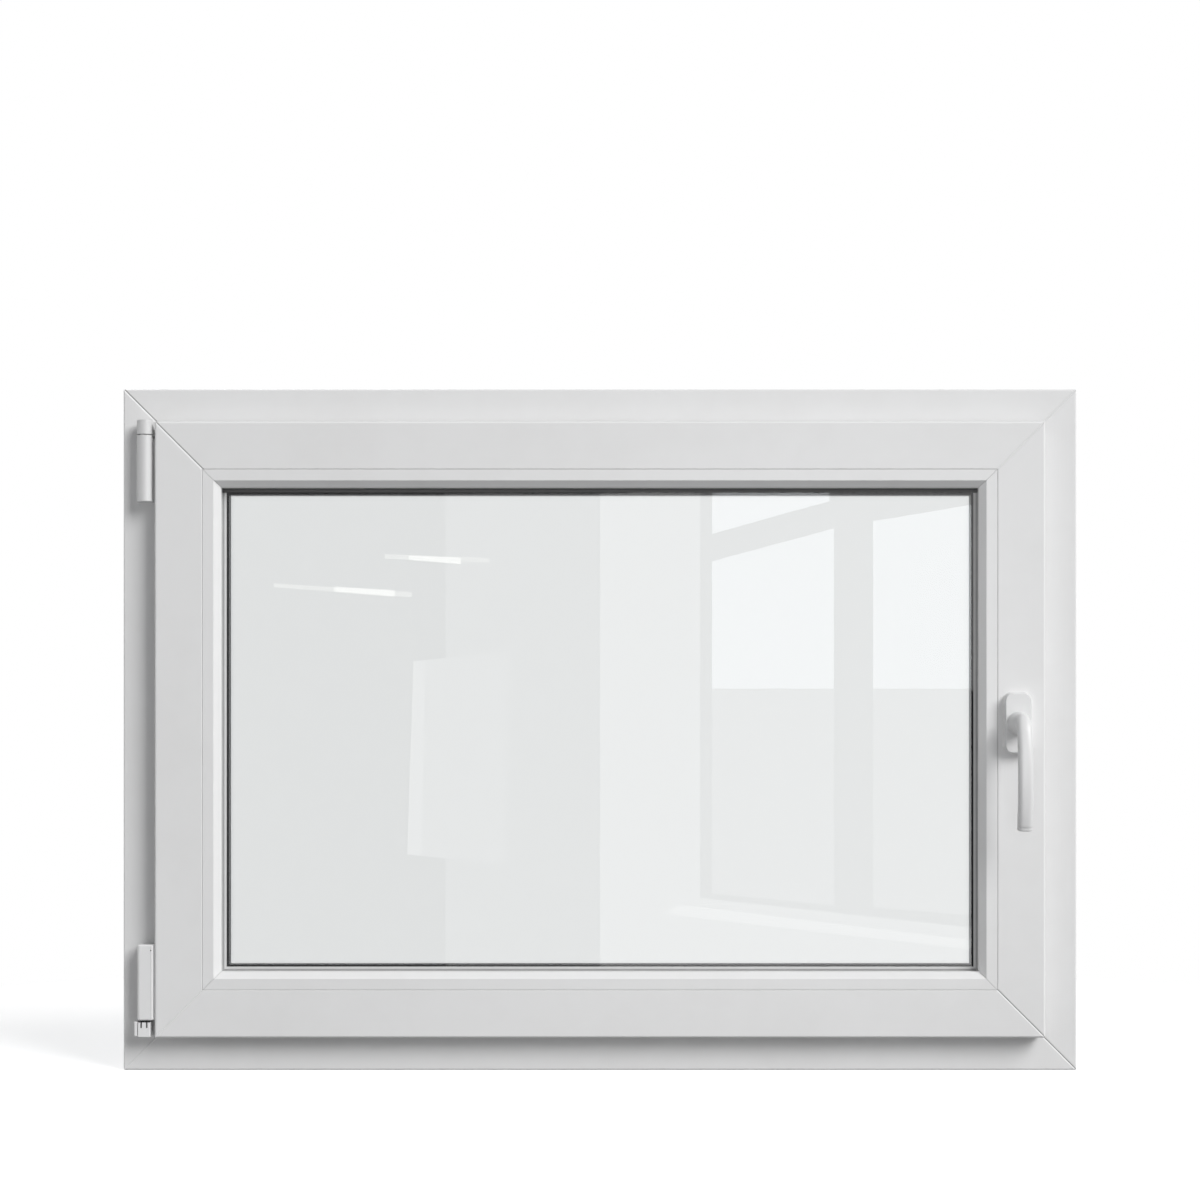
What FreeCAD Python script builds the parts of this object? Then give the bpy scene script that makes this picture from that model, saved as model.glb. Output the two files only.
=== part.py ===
# Tilt and turn window: a white PVC frame and sash with a sealed glass unit, seen from the room.
# The frame is fixed in the wall. The sash turns on the hinge line at its left edge, and tilts into
# the room about a ball pivot at the lower hinge while a stay arm holds its head.
# The row frame: X to the right and Z up as seen from the room, Y out of the building.
# The origin is the middle of the frame's bottom face. Sizes are in millimetres.
#
# A section is drawn in two coordinates: u, from the window's outer edge towards its middle, and y.

import FreeCAD, Part
import math
import os
from FreeCAD import Vector

# Overall sizes
window_width = 1050.0
window_height = 750.0

# Fixed frame profile
frame_depth = 70.0
frame_body = 46.0
frame_leg_height = 66.0
frame_leg_thickness = 17.0
frame_leg_land = 7.0
frame_leg_bevel = 7.0
frame_edge_radius = 1.8
anchor_groove_width = 12.0
anchor_groove_depth = 4.0
anchor_groove_offset = 14.0
frame_corner_radius = 2.0
sash_corner_radius = 1.2

# Sash profile
sash_depth = 70.0
sash_stand_out = 22.0
sash_overlap = 8.0
rebate_air_gap = 12.0
overlap_gap = 5.5
sash_edge_radius = 2.4
face_width = 52.3
outer_lip_thickness = 24.0
outer_lip_height = 22.7
outer_lip_land = 12.0
outer_lip_bevel = 9.0
hardware_groove_width = 16.0
hardware_groove_step = 2.7
rod_channel_width = 12.0
rod_channel_depth = 10.0
hardware_groove_inset = 5.5
bead_groove_width = 3.6
bead_groove_depth = 4.0
bead_groove_inset = 9.0

# Weld seams at the mitres
weld_width = 2.6
weld_depth = 0.55

# Glazing beads
bead_face = 12.2
bead_slope = 7.4
bead_nose = 7.8
bead_edge_radius = 1.0
bead_joint_radius = 0.3
sash_joint_radius = 1.0
bead_nose_radius = 0.8
bead_joint_gap = 0.1
bead_side_gap = 0.2
bead_foot_clearance = 0.3

# Glass unit
pane_thickness = 4.0
cavity = 16.0
glass_edge_gap = 6.0
inside_gasket_thickness = 3.5
outside_gasket_thickness = 4.0
gasket_reveal = 4.4
gasket_tip = 2.2
gasket_tip_rise = 0.6
gasket_bury = 4.6
spacer_sight = 26.2
spacer_height = 12.0
block_length = 100.0
block_from_corner = 80.0

# Seals between sash and frame
seal_width = 5.0
seal_reach = 4.5
seal_inset = 2.0
frame_seal_reach = 4.0
frame_seal_from_leg_edge = 2.0

# Hinge line and tilting
hinge_inset = 26.2
hinge_stand_out = 13.0
hinge_radius = 8.9
tilt_axis_height = 44.0

# Lower hinge
lower_hinge_bottom = 57.0
lower_hinge_top = 139.5
lower_knuckle_radius = 6.0
hinge_leaf_thickness = 3.0
hinge_leaf_reach = 12.0
hinge_leaf_back = 3.0
cover_left = 7.4
cover_right = 9.8
cover_front = 9.0
cover_front_radius = 3.2
cover_wall = 1.4
cover_fit = 0.15
cover_end_bevel = 1.2
cover_groove_width = 0.7
cover_groove_depth = 0.6
cover_web_step = 4.0
cover_web_gap = 0.3
pin_radius = 3.0
pin_clearance = 0.05
pin_top = 96.0
ball_radius = 4.2
ball_clearance = 0.3
pivot_rest_bottom = 38.9
pivot_rest_top = 54.6
pivot_rest_half_width = 6.8
pivot_rest_front = 7.6
pivot_rest_edge = 0.8
pivot_mouth_radius = 5.6
pivot_neck_radius = 3.9
rest_notch_width = 1.6
rest_notch_depth = 6.0
rest_notch_offset = 3.1
rest_plate_left = 10.4
rest_plate_right = 9.5
rest_plate_thickness = 3.5
rest_flange_front = 6.8
rest_flange_thickness = 3.0

# Upper hinge
upper_hinge_drop = 36.0
knuckle_height = 15.5
knuckle_seam = 1.0
bearing_height = 73.0
bearing_wall = 1.4
bearing_end_bevel = 0.7
bearing_web_reach = 10.8
bearing_web_drop = 3.0
bearing_core_radius = 6.0
stub_radius = 2.5
stub_height = 15.2
stub_clearance = 0.05
knuckle_bore = 7.2
knuckle_bore_depth = 10.5
knuckle_slot_left = 6.0
knuckle_slot_depth = 4.0

# Stay arm in the head gap
arm_length = 500.0
arm_thickness = 2.5
arm_width = 15.0
arm_lift = 5.0
arm_tab_height = 7.5
arm_tab_step = 3.5
arm_tab_step_reach = 11.5
arm_tab_gap = 0.9
arm_start = 50.0
arm_tongue_half = 3.0
arm_tongue_gap = 2.7
rivet_radius = 3.5
rivet_head_radius = 5.5
rivet_head = 1.2
rivet_clearance = 0.2
shoe_length = 46.0
shoe_width = 11.4
shoe_boss_radius = 5.5
shoe_drop = 1.6

# Locking hardware
faceplate_thickness = 2.5
faceplate_slot_length = 30.0
faceplate_slot_width = 6.2
rod_width = 9.0
rod_thickness = 3.0
rod_gap = 0.2
cam_radius = 4.0
cam_stem_width = 5.0
cam_head = 3.0
cam_reach = 6.5
striker_base = 2.5
striker_lip_height = 8.0
striker_length = 34.0
striker_lip_length = 14.0
cam_from_corner = 170.0

# Handle
handle_inset = 69.1
handle_height = 382.0
rosette_width = 31.5
rosette_height = 68.0
rosette_thickness = 11.0
rosette_corner = 9.5
rosette_draft = 1.6
rosette_draft_depth = 9.0
rosette_edge = 1.3
boss_radius = 12.7
boss_base = 3.0
boss_height = 22.0
boss_front_radius = 10.8
boss_bevel = 2.4
neck_reach = 25.0
neck_bend = 14.5
grip_half_width = 8.1
grip_half_depth = 6.6
grip_corner = 5.4
grip_chords = 4
grip_lean = 14.0
grip_cap = 4.0
grip_cap_step = 0.3
grip_end_bevel = 1.2
lever_length = 117.0
spindle_side = 7.0
spindle_depth = 22.0
spindle_hole_radius = 6.0

# Drainage
drain_cap_length = 42.0
drain_cap_height = 12.0
drain_cap_depth = 4.5
drain_cap_bevel = 1.0
drain_cap_wall = 1.3
drain_from_corner = 210.0
drain_slot_length = 28.0
drain_slot_width = 5.0

# Planes and lines that several pieces share
half_width = window_width / 2
room_face = -frame_depth / 2
outer_face = frame_depth / 2
leg_face = outer_face - frame_leg_thickness
sash_edge = frame_body - sash_overlap
sash_room_face = room_face - sash_stand_out
sash_outer_face = sash_room_face + sash_depth
sash_body_edge = frame_body + rebate_air_gap
flange_back = room_face - overlap_gap
glazing_floor = sash_edge + face_width
lip_inner_face = sash_outer_face - outer_lip_thickness
lip_edge = glazing_floor + outer_lip_height
glass_out = lip_inner_face - outside_gasket_thickness
glass_in = glass_out - 2 * pane_thickness - cavity
bead_back = glass_in - inside_gasket_thickness
bead_edge = glazing_floor + bead_face + bead_slope
glass_edge = glazing_floor + glass_edge_gap
groove_start = flange_back + hardware_groove_inset
groove_middle = groove_start + hardware_groove_width / 2
bearing_top = window_height - upper_hinge_drop - knuckle_height - knuckle_seam
bearing_bottom = bearing_top - bearing_height
upper_hinge_top = window_height - upper_hinge_drop
hinge_x = -half_width + hinge_inset
hinge_y = room_face - hinge_stand_out
handle_x = half_width - handle_inset
sides = ("left", "right", "top", "bottom")
beyond = 5.0


def place(side, u, y, along=0.0):
    """The point at u from one side of the window, at y, and at a distance along that side."""
    if side == "left":
        return Vector(-half_width + u, y, along)
    if side == "right":
        return Vector(half_width - u, y, along)
    if side == "top":
        return Vector(-half_width + along, y, window_height - u)
    return Vector(-half_width + along, y, u)


def side_length(side):
    return window_height if side in ("left", "right") else window_width


def section_face(corners, put):
    """A face from corners (u, y, radius), where put(u, y) gives the point in space."""
    pieces = []
    count = len(corners)
    for i in range(count):
        u, y, radius = corners[i]
        before = corners[i - 1]
        after = corners[(i + 1) % count]
        if radius == 0:
            pieces.append([put(u, y)])
            continue
        to_before = Vector(before[0] - u, before[1] - y, 0).normalize()
        to_after = Vector(after[0] - u, after[1] - y, 0).normalize()
        half_angle = to_before.getAngle(to_after) / 2
        reach = radius / math.tan(half_angle)
        bisector = (to_before + to_after).normalize()
        middle = bisector * (radius / math.sin(half_angle) - radius)
        pieces.append([
            put(u + to_before.x * reach, y + to_before.y * reach),
            put(u + middle.x, y + middle.y),
            put(u + to_after.x * reach, y + to_after.y * reach),
        ])
    edges = []
    for i in range(count):
        piece = pieces[i]
        following = pieces[(i + 1) % count]
        if len(piece) == 3:
            edges.append(Part.Arc(piece[0], piece[1], piece[2]).toShape())
        edges.append(Part.LineSegment(piece[-1], following[0]).toShape())
    return Part.Face(Part.Wire(edges))


def mitre_prism(side, gap=0.0):
    """The wedge that one side keeps between the two mitres, less a gap at each mitre."""
    length = side_length(side)
    reach = min(window_width, window_height) / 2 - beyond
    shift = gap * math.sqrt(2)
    depth = Vector(0, 4 * frame_depth, 0)
    start = -2 * frame_depth
    points = [
        place(side, -beyond, start, -beyond + shift),
        place(side, -beyond, start, length + beyond - shift),
        place(side, reach, start, length - reach - shift),
        place(side, reach, start, reach + shift),
    ]
    return Part.Face(Part.makePolygon(points + points[:1])).extrude(depth)


def member(side, corners, gap=0.0):
    """One mitred length of a profile along a side of the window."""
    face = section_face(corners, lambda u, y: place(side, u, y))
    run = place(side, 0, 0, side_length(side)) - place(side, 0, 0, 0)
    return face.extrude(run).common(mitre_prism(side, gap))


def ring(corners):
    """A profile that runs round the window in one piece, such as a seal."""
    whole = member("left", corners)
    for side in sides[1:]:
        whole = whole.fuse(member(side, corners))
    return whole.removeSplitter()


def block(low_x, high_x, low_y, high_y, low_z, high_z):
    size = Vector(high_x - low_x, high_y - low_y, high_z - low_z)
    return Part.makeBox(size.x, size.y, size.z, Vector(low_x, low_y, low_z))


def side_block(side, u0, u1, y0, y1, along0, along1):
    """A block given by its u, y and distance along one side of the window."""
    a = place(side, u0, y0, along0)
    b = place(side, u1, y1, along1)
    return block(min(a.x, b.x), max(a.x, b.x), min(a.y, b.y), max(a.y, b.y), min(a.z, b.z), max(a.z, b.z))


def weld_grooves(side, face, inward, u0, u1):
    """The V grooves that the trimmed welds leave at both ends of a side, on one face."""
    length = side_length(side)
    tools = []
    for end, direction in ((0.0, 1.0), (length, -1.0)):
        start = place(side, u0, face, end + direction * u0)
        stop = place(side, u1, face, end + direction * u1)
        run = stop - start
        across = Vector(run.z, 0, -run.x).normalize() * (weld_width / 2)
        lift = Vector(0, -inward, 0)
        points = [start + across + lift, start + across, start + Vector(0, inward * weld_depth, 0)]
        points += [start - across, start - across + lift]
        tools.append(Part.Face(Part.makePolygon(points + points[:1])).extrude(run))
    return tools


def frame_section():
    low = -anchor_groove_offset - anchor_groove_width / 2
    high = anchor_groove_offset + anchor_groove_width / 2
    return [
        (0, room_face, frame_edge_radius),
        (frame_body, room_face, frame_edge_radius),
        (frame_body, leg_face, 0),
        (frame_leg_height, leg_face, frame_edge_radius),
        (frame_leg_height, leg_face + frame_leg_land, frame_edge_radius),
        (frame_leg_height - frame_leg_bevel, outer_face, frame_edge_radius),
        (0, outer_face, frame_edge_radius),
        (0, high, 0),
        (anchor_groove_depth, high, 0),
        (anchor_groove_depth, high - anchor_groove_width, 0),
        (0, high - anchor_groove_width, 0),
        (0, low + anchor_groove_width, 0),
        (anchor_groove_depth, low + anchor_groove_width, 0),
        (anchor_groove_depth, low, 0),
        (0, low, 0),
    ]


def sash_section():
    step = sash_body_edge + hardware_groove_step
    floor = sash_body_edge + rod_channel_depth
    groove_end = groove_start + hardware_groove_width
    channel_start = groove_middle - rod_channel_width / 2
    channel_end = groove_middle + rod_channel_width / 2
    bead_groove = sash_room_face + bead_groove_inset
    return [
        (sash_edge, sash_room_face, sash_edge_radius),
        (glazing_floor, sash_room_face, sash_joint_radius),
        (glazing_floor, bead_groove, 0),
        (glazing_floor - bead_groove_depth, bead_groove, 0),
        (glazing_floor - bead_groove_depth, bead_groove + bead_groove_width, 0),
        (glazing_floor, bead_groove + bead_groove_width, 0),
        (glazing_floor, lip_inner_face, 0),
        (lip_edge, lip_inner_face, frame_edge_radius),
        (lip_edge, lip_inner_face + outer_lip_land, frame_edge_radius),
        (lip_edge - outer_lip_bevel, sash_outer_face, frame_edge_radius),
        (sash_body_edge, sash_outer_face, frame_edge_radius),
        (sash_body_edge, groove_end, 0),
        (step, groove_end, 0),
        (step, channel_end, 0),
        (floor, channel_end, 0),
        (floor, channel_start, 0),
        (step, channel_start, 0),
        (step, groove_start, 0),
        (sash_body_edge, groove_start, 0),
        (sash_body_edge, flange_back, 0),
        (sash_edge, flange_back, frame_edge_radius),
    ]


def bead_section():
    foot = sash_room_face + bead_groove_inset + bead_foot_clearance
    foot_end = foot + bead_groove_width - 2 * bead_foot_clearance
    foot_tip = glazing_floor - bead_groove_depth + bead_foot_clearance
    side = glazing_floor + bead_side_gap
    return [
        (side, sash_room_face, bead_joint_radius),
        (glazing_floor + bead_face, sash_room_face, bead_edge_radius),
        (bead_edge, bead_back - bead_nose, bead_nose_radius),
        (bead_edge, bead_back, 0),
        (side, bead_back, 0),
        (side, foot_end, 0),
        (foot_tip, foot_end, 0),
        (foot_tip, foot, 0),
        (side, foot, 0),
    ]


def rounded_outline(inset, radius, low_y, high_y):
    """A block with the window's outline, moved in by an inset, with its four corners rounded."""
    x = half_width - inset
    low, high = inset, window_height - inset
    corners = [(-x, low, radius), (x, low, radius), (x, high, radius), (-x, high, radius)]
    return section_face(corners, lambda a, b: Vector(a, low_y, b)).extrude(Vector(0, high_y - low_y, 0))


def frame_members():
    """The four lengths of the fixed frame, with drain slots in the sill."""
    made = {}
    outline = rounded_outline(0, frame_corner_radius, room_face, outer_face)
    for side in sides:
        bar = member(side, frame_section()).common(outline)
        grooves = weld_grooves(side, room_face, 1.0, -beyond, frame_body + beyond)
        grooves += weld_grooves(side, outer_face, -1.0, -beyond, frame_leg_height - frame_leg_bevel)
        made[side] = bar.cut(grooves)
    slot_y = (sash_outer_face + leg_face) / 2 - drain_slot_width
    for x in drain_places():
        slot = block(x - drain_slot_length / 2, x + drain_slot_length / 2, slot_y, slot_y + drain_slot_width,
                     frame_body - anchor_groove_depth, frame_body + beyond)
        made["bottom"] = made["bottom"].cut(slot)
    return made


def drain_places():
    return (-half_width + drain_from_corner, half_width - drain_from_corner)


def sash_members():
    """The four lengths of the sash, with the spindle's hole in the handle side."""
    made = {}
    outline = rounded_outline(sash_edge, sash_corner_radius, sash_room_face, sash_outer_face)
    for side in sides:
        bar = member(side, sash_section()).common(outline)
        grooves = weld_grooves(side, sash_room_face, 1.0, sash_edge - beyond, glazing_floor + beyond)
        grooves += weld_grooves(side, sash_outer_face, -1.0, sash_body_edge - beyond,
                                lip_edge - outer_lip_bevel)
        made[side] = bar.cut(grooves)
    mouth = Vector(handle_x, sash_room_face - 1, handle_height)
    hole = Part.makeCylinder(spindle_hole_radius, spindle_depth + 1, mouth, Vector(0, 1, 0))
    made["right"] = made["right"].cut(hole)
    return made


def seal_section(face, reach, u0):
    """A sealing lip with its flat back on a face and its nose at the given reach."""
    tip = face + reach
    waist = face + reach * 0.45
    return [
        (u0, face, 0),
        (u0, waist, 0),
        (u0 + seal_width * 0.3, tip, 0.3),
        (u0 + seal_width * 0.7, tip, 0.3),
        (u0 + seal_width, waist, 0),
        (u0 + seal_width, face, 0),
    ]


def sash_seal():
    """The overlap seal on the flange's back, notched where the two hinge leaves pass."""
    seal = ring(seal_section(flange_back, seal_reach, sash_edge + seal_inset))
    low = side_block("left", sash_edge - 1, sash_edge + hinge_leaf_reach + 1, flange_back - 1, room_face,
                     lower_hinge_bottom - 1, lower_hinge_top + 1)
    arm_z = arm_bottom()
    high = side_block("left", sash_edge - 1, sash_edge + hinge_leaf_reach + 1, flange_back - 1, room_face,
                      arm_z - 1, arm_z + arm_tab_height + 0.5)
    return seal.cut([low, high])


def frame_seal():
    start = frame_leg_height - frame_seal_from_leg_edge - seal_width
    return ring(seal_section(leg_face, -frame_seal_reach, start))


def glazing_gasket(bead_side):
    """The gasket between the glass and the bead, or between the glass and the outer lip."""
    if bead_side:
        back, glass, edge = bead_back, glass_in, bead_edge
    else:
        back, glass, edge = lip_inner_face, glass_out, lip_edge - gasket_reveal / 2
    tip = glass + math.copysign(gasket_tip_rise, back - glass)
    return ring([
        (edge - gasket_bury, back, 0),
        (edge, back, 0),
        (edge + gasket_reveal - gasket_tip, tip, 0.5),
        (edge + gasket_reveal, glass, 0),
        (edge - gasket_bury, glass, 0),
    ])


def pane(low_y):
    return block(-half_width + glass_edge, half_width - glass_edge, low_y, low_y + pane_thickness,
                 glass_edge, window_height - glass_edge)


def cavity_ring(u0, u1):
    low = glass_in + pane_thickness
    return ring([(u0, low, 0), (u1, low, 0), (u1, low + cavity, 0), (u0, low + cavity, 0)])


def glazing_blocks():
    """Setting blocks that carry the glass unit on the glazing floor."""
    made = []
    for side in sides:
        length = side_length(side)
        start = glass_edge + block_from_corner
        for first in (start, length - start - block_length):
            made.append(side_block(side, glazing_floor, glass_edge, glass_in, glass_out,
                                   first, first + block_length))
    return Part.makeCompound(made)


def faceplate(side, start, stop, cam_places):
    """A strip of the locking gear in the sash's hardware groove, with a slot for each cam."""
    top = sash_body_edge + hardware_groove_step
    groove_end = groove_start + hardware_groove_width
    plate = side_block(side, top - faceplate_thickness, top, groove_start, groove_end, start, stop)
    for along in cam_places:
        reach = faceplate_slot_length / 2
        half = faceplate_slot_width / 2
        plate = plate.cut(side_block(side, top - faceplate_thickness - 1, top + 1, groove_middle - half,
                                     groove_middle + half, along - reach, along + reach))
    return plate


def drive_rod(side, start, stop):
    """The rod behind a strip, which the handle drives and which carries the cams."""
    top = sash_body_edge + hardware_groove_step + rod_gap
    half = rod_width / 2
    return side_block(side, top, top + rod_thickness, groove_middle - half, groove_middle + half, start, stop)


def cam(side, along):
    """A mushroom cam: a square stem that stands on the rod, through the strip's slot, and a round head."""
    foot = sash_body_edge + hardware_groove_step + rod_gap
    neck = sash_body_edge - cam_reach + cam_head
    half = cam_stem_width / 2
    stem = side_block(side, neck, foot, groove_middle - half, groove_middle + half,
                      along - half, along + half)
    start = place(side, neck, groove_middle, along)
    axis = (place(side, neck - 1, groove_middle, along) - start).normalize()
    return stem.fuse(Part.makeCylinder(cam_radius, cam_head, start, axis)).removeSplitter()


def striker(side, along):
    """A striker on the frame's rebate: a plate with a lip beside the cam's way in."""
    plate_low = groove_middle - hardware_groove_width / 2
    plate_high = plate_low + hardware_groove_width
    plate = side_block(side, frame_body, frame_body + striker_base, plate_low, plate_high,
                       along - striker_length + striker_lip_length, along + striker_lip_length)
    lip = side_block(side, frame_body + striker_base, frame_body + striker_lip_height,
                     plate_low, plate_low + 3.5, along + cam_radius + 3, along + striker_lip_length)
    return plate.fuse(lip).removeSplitter()


def cylinder_z(x, y, radius, low, high):
    return Part.makeCylinder(radius, high - low, Vector(x, y, low))


def lower_sash_hinge():
    """The sash's lower hinge: a long knuckle on the pin and a leaf on the flange's back."""
    leaf_face = flange_back + hinge_leaf_thickness
    low, high = lower_hinge_bottom + cover_wall, lower_hinge_top - cover_wall
    knuckle = cylinder_z(hinge_x, hinge_y, lower_knuckle_radius, low, high)
    heel = block(hinge_x - hinge_leaf_back, hinge_x + lower_knuckle_radius, hinge_y, leaf_face, low, high)
    leaf = block(hinge_x, -half_width + sash_edge + hinge_leaf_reach, flange_back, leaf_face, low, high)
    bore = cylinder_z(hinge_x, hinge_y, pin_radius + pin_clearance, low - 1, pin_top + 0.5)
    return knuckle.fuse([heel, leaf]).removeSplitter().cut(bore)


def lower_hinge_cover():
    """The cover clipped over the lower knuckle: a bevelled box with a groove down its right side."""
    corners = [
        (-cover_left, -cover_front, cover_front_radius),
        (cover_right, -cover_front, cover_front_radius / 2),
        (cover_right, flange_back - hinge_y - 0.2, 0),
        (-cover_left, flange_back - hinge_y - 0.2, 0),
    ]
    face = section_face(corners, lambda a, b: Vector(hinge_x + a, hinge_y + b, lower_hinge_bottom))
    box = face.extrude(Vector(0, 0, lower_hinge_top - lower_hinge_bottom))
    front = hinge_y - cover_front
    behind_front = front + cover_front_radius + 0.1
    rims = [e for e in box.Edges if e.BoundBox.ZLength < 0.01 and e.BoundBox.YMin < behind_front]
    box = box.makeChamfer(cover_end_bevel, rims)
    low, high = lower_hinge_bottom + cover_wall, lower_hinge_top - cover_wall
    inner = lower_knuckle_radius + cover_fit
    inside = cylinder_z(hinge_x, hinge_y, inner, low, high)
    behind = block(hinge_x - inner, hinge_x + inner, hinge_y, flange_back, low, high)
    hole = cylinder_z(hinge_x, hinge_y, pin_radius + 1, lower_hinge_bottom - 1, low + 1)
    web = block(hinge_x + cover_right - cover_wall, -half_width + sash_edge - cover_web_gap,
                front + cover_web_step, flange_back - 0.2, lower_hinge_bottom, lower_hinge_top)
    groove_x = hinge_x + cover_right - cover_front_radius / 2
    groove = block(groove_x - cover_groove_width, groove_x, front - 1, front + cover_groove_depth,
                   lower_hinge_bottom - 1, lower_hinge_top + 1)
    return box.fuse(web).removeSplitter().cut([inside, behind, hole, groove])


def pivot_pin():
    """The ball-footed pin: the sash turns on its shaft, and it tilts on its ball."""
    low, high = tilt_axis_height - ball_radius, tilt_axis_height + ball_radius
    spread = ball_radius * (1 - math.sqrt(0.5))
    foot = cylinder_z(hinge_x, hinge_y, ball_radius, low, high)
    rims = [e for e in foot.Edges if e.BoundBox.ZLength < 0.01]
    ball = foot.makeChamfer(spread * 2, rims)
    shaft = cylinder_z(hinge_x, hinge_y, pin_radius, tilt_axis_height, pin_top)
    return ball.fuse(shaft).removeSplitter()


def pivot_rest():
    """The frame's lower bearing: a notched box with a socket for the ball, on a plate with a side flange."""
    low, high = pivot_rest_bottom, pivot_rest_top
    half = pivot_rest_half_width
    plate_face = room_face - rest_plate_thickness
    corners = [
        (-half, -pivot_rest_front, pivot_rest_edge),
        (half, -pivot_rest_front, pivot_rest_edge),
        (half, plate_face - hinge_y, 0),
        (-half, plate_face - hinge_y, 0),
    ]
    face = section_face(corners, lambda a, b: Vector(hinge_x + a, hinge_y + b, low))
    socket = face.extrude(Vector(0, 0, high - low))
    plate = block(hinge_x - rest_plate_left, hinge_x + rest_plate_right, plate_face, room_face, low, high)
    flange = block(hinge_x - rest_plate_left, hinge_x - rest_plate_left + rest_flange_thickness,
                   hinge_y - rest_flange_front, room_face, low + 1, high + 1)
    cup_radius = ball_radius + ball_clearance
    floor = tilt_axis_height - cup_radius
    cup = cylinder_z(hinge_x, hinge_y, cup_radius, floor, tilt_axis_height + cup_radius / 2)
    mouth = Part.makeCone(cup_radius, pivot_mouth_radius, high - tilt_axis_height - cup_radius / 2,
                          Vector(hinge_x, hinge_y, tilt_axis_height + cup_radius / 2))
    cuts = [cup, mouth]
    for direction in (-1, 1):
        middle = hinge_x + direction * rest_notch_offset
        cuts.append(block(middle - rest_notch_width / 2, middle + rest_notch_width / 2,
                          hinge_y - pivot_rest_front - 1, hinge_y - ball_radius,
                          high - rest_notch_depth, high + 1))
    return socket.fuse([plate, flange]).removeSplitter().cut(cuts)


def stay_bearing():
    """The frame's upper bearing: a plate, a post and the stub that the stay's knuckle turns on."""
    top = bearing_top
    post = cylinder_z(hinge_x, hinge_y, bearing_core_radius,
                      bearing_bottom + bearing_wall, top - bearing_wall)
    web = block(hinge_x - bearing_core_radius, hinge_x + bearing_core_radius, hinge_y, room_face,
                bearing_bottom + bearing_wall, top - bearing_wall)
    stub = cylinder_z(hinge_x, hinge_y, stub_radius, top - bearing_wall, top + stub_height)
    return post.fuse([web, stub]).removeSplitter()


def bearing_cover():
    """The plastic cover over the upper bearing, open towards the frame."""
    top = bearing_top
    barrel = cylinder_z(hinge_x, hinge_y, hinge_radius, bearing_bottom, top)
    barrel = barrel.makeChamfer(bearing_end_bevel, [e for e in barrel.Edges if e.BoundBox.ZLength < 0.01])
    back = block(hinge_x - hinge_radius, hinge_x + hinge_radius, hinge_y, room_face, bearing_bottom, top)
    web = block(hinge_x, hinge_x + bearing_web_reach, hinge_y, room_face, bearing_bottom,
                arm_bottom() - bearing_web_drop)
    outside = barrel.fuse([back, web])
    inner = hinge_radius - bearing_wall
    inside = cylinder_z(hinge_x, hinge_y, inner, bearing_bottom + bearing_wall, top - bearing_wall)
    inside = inside.fuse(block(hinge_x - inner, hinge_x + inner, hinge_y, room_face + 1,
                               bearing_bottom + bearing_wall, top - bearing_wall))
    hole = cylinder_z(hinge_x, hinge_y, stub_radius + 0.3, top - 2 * bearing_wall, top + 1)
    return outside.removeSplitter().cut([inside, hole])


def arm_bottom():
    return window_height - sash_body_edge + arm_lift


def stay_arm():
    """The stay arm: a flat bar in the head gap, and a tab that runs behind the flange to the hinge line.

    The tab ends in a short tongue inside the knuckle, clear of the bearing's stub.
    """
    low = arm_bottom()
    tab_front = flange_back + arm_tab_gap
    tab_back = tab_front + arm_thickness
    tab_top = low + arm_tab_height
    step_x = hinge_x + arm_tab_step_reach
    far = hinge_x + arm_length
    start = -half_width + arm_start
    bar = block(start, far, tab_back, tab_back + arm_width, low, low + arm_thickness)
    round_end = cylinder_z(far, groove_middle, tab_back + arm_width - groove_middle, low, low + arm_thickness)
    tab = block(step_x, start + arm_width / 2, tab_front, tab_back, low, tab_top)
    tab_end = block(hinge_x - arm_tongue_half, step_x, tab_front, tab_back, low + arm_tab_step, tab_top)
    corner = block(start, start + arm_width / 2, tab_front, tab_back + 1, low, low + arm_thickness)
    tongue = block(hinge_x - arm_tongue_half, hinge_x + arm_tongue_half,
                   hinge_y + stub_radius + arm_tongue_gap, tab_back, tab_top - arm_thickness, tab_top)
    hole = cylinder_z(far, groove_middle, rivet_radius + rivet_clearance, low - 1, low + arm_thickness + 1)
    return bar.fuse([round_end, tab, tab_end, corner, tongue]).removeSplitter().cut(hole)


def stay_knuckle():
    """The stay's knuckle: a cap that turns on the bearing's stub, slotted behind for the arm's tongue."""
    low = upper_hinge_top - knuckle_height
    cap = cylinder_z(hinge_x, hinge_y, hinge_radius, low, upper_hinge_top)
    bore = cylinder_z(hinge_x, hinge_y, knuckle_bore, low - 1, low + knuckle_bore_depth)
    stub_hole = cylinder_z(hinge_x, hinge_y, stub_radius + stub_clearance, low, bearing_top + stub_height)
    slot = block(hinge_x - knuckle_slot_left, hinge_x + hinge_radius + 1, hinge_y + knuckle_slot_depth,
                 hinge_y + hinge_radius + 1, low - 1, low + knuckle_bore_depth)
    return cap.cut([bore, slot, stub_hole])


def stay_shoe():
    """The sliding shoe on the head's faceplate, with the rivet that the arm turns on."""
    far = hinge_x + arm_length
    floor = window_height - sash_body_edge - hardware_groove_step + faceplate_thickness
    top = arm_bottom()
    body = block(far - shoe_length / 2, far + shoe_length / 2, groove_middle - shoe_width / 2,
                 groove_middle + shoe_width / 2, floor, top - shoe_drop)
    boss = cylinder_z(far, groove_middle, shoe_boss_radius, floor, top - rivet_clearance)
    head_low = top + arm_thickness + rivet_clearance
    stem = cylinder_z(far, groove_middle, rivet_radius, floor, head_low)
    head = cylinder_z(far, groove_middle, rivet_head_radius, head_low, head_low + rivet_head)
    return body.fuse([boss, stem, head]).removeSplitter()


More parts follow.
